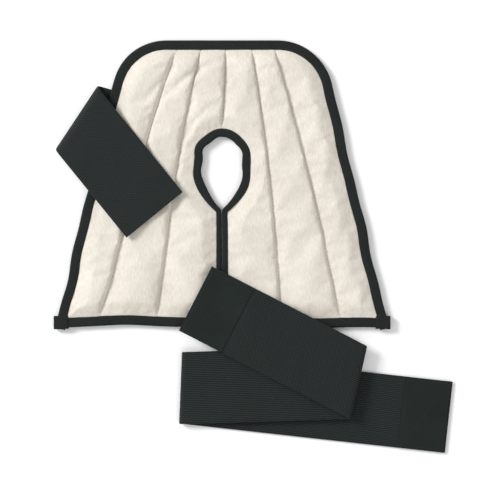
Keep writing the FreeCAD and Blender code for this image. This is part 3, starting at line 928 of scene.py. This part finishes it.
def selvage(t):
    """Half the strap's thickness: full inside, thinner at its two woven edges."""
    edge = 1 - np.abs(t) / (STRAP_WIDTH / 2)
    return STRAP_THICKNESS / 2 * (0.35 + 0.65 * np.sqrt(np.clip(edge / 0.03, 0, 1)))


def ripple(s, t, seed, size):
    """Slight unevenness of a strap that lies loose, stronger along its edges."""
    return size * (waves(s, t * 0.6, seed, 55 * MM, 2) + 0.5 * np.abs(2 * t / STRAP_WIDTH) ** 3
                   * np.sin(s / (9 * MM) + seed))


def make_strap(name, middle, t, s, cuts, node_names):
    """One stretch of a strap between two of its rows."""
    first, last = cuts
    start = first - TUCK_LINES if first else 0
    rows = slice(start, last + 1)
    uv = np.stack([s[rows], t[rows]], -1)
    middle = to_frame(middle[rows])
    if first:
        middle = tucked(middle, 0, 0.2 * MM)
    piece = slab(name, middle, selvage(t[rows]), elastic, uv=uv)
    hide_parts(*node_names)
    length = float(s[last, 0] - s[start, 0])
    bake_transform(piece)
    return piece, length


def tab_band(name, into_tab):
    """A band square to a tab's hinge, given the direction into the tab: it reaches further into
    the tab than back into the strap."""
    middle = np.array(joint(name)["pos_m"], float)
    return middle + into_tab * TAB_BAND_INTO, middle - into_tab * TAB_BAND_BACK


def level_direction(angle):
    """The unit vector at an angle, with a height of 0."""
    return np.append(unit(angle), 0.0)


def patch_on(name, node, middle, s, t, span, kind, material):
    """A patch sewn on a strap: the strap's own surface between two distances, narrowed by an
    inset, lifted off it, and made a thin slab with its edges pressed down. Its kind is that
    inset, the lift and half its thickness."""
    inset, lift, half = kind
    rows = (s[:, 0] >= span[0] + inset - 1e-6) & (s[:, 0] <= span[1] - inset + 1e-6)
    columns = np.abs(t[0]) <= STRAP_WIDTH / 2 - inset
    grid = middle[rows][:, columns]
    grid_s, grid_t = s[rows][:, columns], t[rows][:, columns]
    edge = np.minimum(np.minimum(grid_s - grid_s.min(), grid_s.max() - grid_s),
                      grid_t.max() - np.abs(grid_t))
    press = smooth(edge, -1.2 * MM, 2.2 * MM)
    grid = to_frame(grid)
    grid[..., 2] += lift - np.sign(lift) * 0.25 * MM * (1 - press)
    uv = np.stack([grid_s, grid_t], -1)
    piece = slab(name, grid, half * (0.55 + 0.45 * press), material, uv=uv)
    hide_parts(node)
    return piece


def sewn_lines(name, corners, level, material):
    """Stitching along a line through corners, level on top of a patch."""
    path = evenly(np.array([tuple(c) + (level,) for c in corners]), 1.0 * MM)
    return stitches(name, to_frame(path), 2.9 * MM, 2.4 * MM, 0.26 * MM, material)


def tab_stitching(name, end, angle, level):
    """A tab's stitching: a box a little inside its edges, and one diagonal across it."""
    along, across = unit(angle), unit(angle + math.pi / 2)
    near, far = TAB_STITCH_INSET, TAB_LENGTH - TAB_STITCH_INSET
    side = STRAP_WIDTH / 2 - TAB_STITCH_INSET
    corners = [end - along * a + across * b for a, b in
               ((near, side), (near, -side), (far, -side), (far, side), (near, side), (far, -side))]
    lines = sewn_lines(name, corners, level, thread_material)
    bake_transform(lines)


def make_long_strap():
    """The long strap: its tail on the table, folded over at the left, again at the right, and
    laid up across the slit."""
    low_angle = heading(LONG_TAIL, LONG_LEFT_FOLD)
    middle_angle = heading(LONG_LEFT_FOLD, LONG_RIGHT_FOLD)
    top_angle = heading(LONG_RIGHT_FOLD, LONG_TOP)
    left_line = (low_angle + middle_angle) / 2
    right_line = (middle_angle + top_angle) / 2
    left_axis = LONG_LEFT_FOLD + unit(middle_angle) * LEFT_FOLD_INSET
    right_axis = LONG_RIGHT_FOLD - unit(middle_angle) * RIGHT_FOLD_INSET
    left_radius = (MIDDLE_MIDDLE - LOW_MIDDLE) / 2
    right_radius = (UPPER_MIDDLE - MIDDLE_MIDDLE) / 2
    low_length = np.linalg.norm(left_axis - LONG_TAIL)
    middle_length = np.linalg.norm(right_axis - left_axis)
    top_length = np.linalg.norm(LONG_TOP - right_axis)
    low_angle = heading(LONG_TAIL, left_axis)
    length = low_length + math.pi * left_radius + middle_length + math.pi * right_radius + top_length
    s, t, flat = flat_strip(LONG_TAIL, low_angle, length, STRAP_SPACING, LOW_MIDDLE)
    left_out = unit(left_line + math.pi / 2)
    left_out = left_out * math.copysign(1, left_out @ unit(low_angle))
    points = turned(flat, left_axis, left_out, left_radius)
    right_out = unit(right_line + math.pi / 2)
    right_out = right_out * math.copysign(1, right_out @ unit(middle_angle))
    halfway = low_length + math.pi * left_radius + middle_length * TOP_HALF_START
    folded = turned(points, right_axis, right_out, right_radius)
    points = np.where((s > halfway)[..., None], folded, points)
    points = rest_on_pad(points, s, t, halfway)
    cut = int(np.argmin(np.abs(s[:, 0] - halfway)))
    tail_band = tab_band("tail_tab_lift", -level_direction(low_angle))
    top_band = tab_band("top_tab_peel", level_direction(top_angle))
    tail_bodies, top_bodies = ("tail_tab", "pad"), ("top_tab", "pad")
    first, first_length = make_strap("long_strap_tail_half", points, t, s, (0, cut),
                                     ("long_strap_tail", "long_strap_low_run", "long_strap_left_fold",
                                      "long_strap_middle_run"))
    second, second_length = make_strap("long_strap_top_half", points, t, s, (cut, len(s) - 1),
                                       ("long_strap_right_fold", "long_strap_top_run",
                                        "long_strap_top_end"))
    tail_tab, top_tab = (0.3 * MM, TAB_LENGTH), (s.max() - TAB_LENGTH, s.max())
    for tab, span, bodies, band in (("tail", tail_tab, tail_bodies, tail_band),
                                    ("top", top_tab, top_bodies, top_band)):
        for piece_name, node_name, kind, material, slot in (
                ("cover", "cover", COVER, patch_material, "tab_cloth"),
                ("hook_patch", "hook", HOOK_PATCH, hook_material, "hook_tape")):
            piece = patch_on(f"{tab}_{piece_name}", f"long_strap_{tab}_{node_name}", points, s, t,
                             span, kind, material)
            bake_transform(piece)
    tab_stitching("top_tab_stitching", LONG_TOP, top_angle, UPPER_MIDDLE + TAB_STITCH_LIFT)
    tab_stitching("tail_tab_stitching", LONG_TAIL, low_angle + math.pi, LOW_MIDDLE + TAB_STITCH_LIFT)


def rest_on_pad(points, s, t, halfway):
    """Small ripples where the strap lies loose: none on the table run, a little on the others."""
    lifted = points.copy()
    loose = smooth(s, halfway * 0.62, halfway * 0.8) * smooth(-s, -s.max() + 4 * MM, -s.max() + 40 * MM)
    lifted[..., 2] += np.abs(ripple(s, t, 4, 0.32 * MM)) * loose
    return lifted


def make_short_strap():
    """The short strap: its anchor lies under the left channel, and it turns over the pad's left
    edge and comes back over the plush."""
    radius = (UPPER_MIDDLE - STRAP_THICKNESS / 2) / 2
    cad_radius = (UPPER_MIDDLE + STRAP_THICKNESS / 2) / 2
    inward = np.array([math.sin(SHORT_FOLD_HEADING), -math.cos(SHORT_FOLD_HEADING)])
    axis_point = SHORT_FOLD + inward * cad_radius
    under_angle = 2 * SHORT_FOLD_HEADING - SHORT_HEADING - math.pi
    seam_offset = 4 * MM
    start = axis_point + unit(under_angle) * SHORT_REACH
    length = SHORT_REACH + math.pi * radius + SHORT_FLAP_LENGTH
    s, t, flat = flat_strip(start, under_angle + math.pi, length, STRAP_SPACING, STRAP_THICKNESS / 2)
    share = flat[..., 1] / PAD_HEIGHT
    limit = SEAM_LEFT_OUTER[0] + (SEAM_LEFT_OUTER[1] - SEAM_LEFT_OUTER[0]) * share - seam_offset
    covered = flat[..., 0] <= limit
    points = turned(flat, axis_point, -inward, radius)
    loose = smooth(s, SHORT_REACH + 30 * MM, SHORT_REACH + 50 * MM)
    points[..., 2] += np.abs(ripple(s, t, 9, 0.3 * MM)) * loose
    tip_start = SHORT_REACH + math.pi * radius + SHORT_TIP_START
    flap_start = int(np.argmin(np.abs(s[:, 0] - tip_start)))
    begin = int(np.flatnonzero(covered.any(axis=1))[0])
    uv = np.stack([s, t], -1)
    keep = covered | (s > SHORT_REACH - 5 * MM)
    keep = keep[:-1, :-1] & keep[1:, 1:] & keep[1:, :-1] & keep[:-1, 1:]
    rows = slice(begin, flap_start + 1)
    points = to_frame(points)
    high, low = skins(points, selvage(t))
    base = shell("short_strap_base", high[rows], low[rows], elastic, keep[begin:flap_start], uv=uv[rows])
    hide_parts("short_strap_anchor", "short_strap_fold", "short_strap_flap")
    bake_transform(base)
    kept = keep[begin:flap_start]
    cell = (s[1, 0] - s[0, 0]) * np.diff(t[0])[None, :]
    float((kept * cell).sum())
    tip_rows = slice(flap_start - TUCK_LINES, len(s))
    tip = shell("short_strap_tip", high[tip_rows], tucked(low[tip_rows], 0, 0.2 * MM), elastic,
                uv=uv[tip_rows])
    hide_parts("short_strap_end")
    band = hinge("short_end_bend", half_width=9 * MM)
    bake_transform(tip)
    raw = points.copy()
    raw[..., 0] -= PAD_X
    raw[..., 1] -= PAD_Y
    hook = patch_on("short_end_hook_patch", "short_strap_end_hook", raw, s, t,
                    (s.max() - TAB_LENGTH, s.max()), HOOK_PATCH, hook_material)
    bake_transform(hook)


# ------------------------------------------------------------------ what it lies on, and the light
VIEW_CENTRE = (-3.7 * MM, -3.3 * MM)
VIEW_HEIGHT = 1.31
SENSOR_WIDTH, LENS = 36.0, 90.0
FLOOR = 9
KEY_PLACE, KEY_SIZE, KEY_POWER = (-2.5, 1.4, 1.9), 1.1, 105
FILL_PLACE, FILL_SIZE, FILL_POWER = (2.0, -2.0, 3.0), 2.0, 26
SKY_STRENGTH = 0.62


def make_stage():
    """A white table top, a flat square wide enough to fill every view."""
    corners = [(-FLOOR, -FLOOR, 0), (FLOOR, -FLOOR, 0), (FLOOR, FLOOR, 0), (-FLOOR, FLOOR, 0)]
    floor = make_object("table_top", corners, [(0, 1, 2, 3)], table_material)


def area_light(name, place, size, energy):
    """A square white light, aimed at the origin."""
    data = bpy.data.lights.new(name, "AREA")
    data.size, data.energy = size, energy
    lamp = bpy.data.objects.new(name, data)
    lamp.location = place
    lamp.rotation_euler = (-Vector(place)).to_track_quat("-Z", "Y").to_euler()
    bpy.context.scene.collection.objects.link(lamp)


def make_lights():
    """A key light on the left, a weaker, softer one on the right, and an even white sky."""
    area_light("key", KEY_PLACE, KEY_SIZE, KEY_POWER)
    area_light("fill", FILL_PLACE, FILL_SIZE, FILL_POWER)
    world = bpy.data.worlds.new("studio")
    world.use_nodes = True
    sky = world.node_tree.nodes["Background"].inputs
    sky["Color"].default_value = (1, 1, 1, 1)
    sky["Strength"].default_value = SKY_STRENGTH
    bpy.context.scene.world = world
    bpy.context.scene.view_settings.view_transform = "Standard"


def make_camera():
    """A long lens straight above the wrap, which looks down."""
    data = bpy.data.cameras.new("camera")
    data.sensor_width, data.lens = SENSOR_WIDTH, LENS
    camera = bpy.data.objects.new("camera", data)
    camera.location = (VIEW_CENTRE[0], VIEW_CENTRE[1], VIEW_HEIGHT)
    bpy.context.scene.collection.objects.link(camera)
    bpy.context.scene.camera = camera


def table_paint():
    """Matt white paint, with the faintest unevenness."""
    t = Tree("table_paint")
    drift = t.noise(t.place(), 6.0)
    return t.finish(t.mix(drift, (0.93, 0.93, 0.93, 1), (0.96, 0.96, 0.96, 1)),
                    0.9 + drift * 0.05, drift, 0.1 * MM, 0.1)


plush, back_cloth = plush_cloth(), back_fabric()
tape_cloth_material, elastic = tape_cloth(), ribbed_elastic()
patch_material, hook_material = patch_cloth(), hook_surface()
thread_material, seam_thread = thread(), pale_thread()
gel = gel_film()
table_material = table_paint()

make_pad()
make_tapes()
make_corner_tabs()
make_long_strap()
make_short_strap()
make_stage()
make_camera()
make_lights()

back_hook = frame["nodes"]["short_strap_back_hook"]
back_hook.data.materials.clear()
back_hook.data.materials.append(hook_material)

bpy.context.view_layer.update()
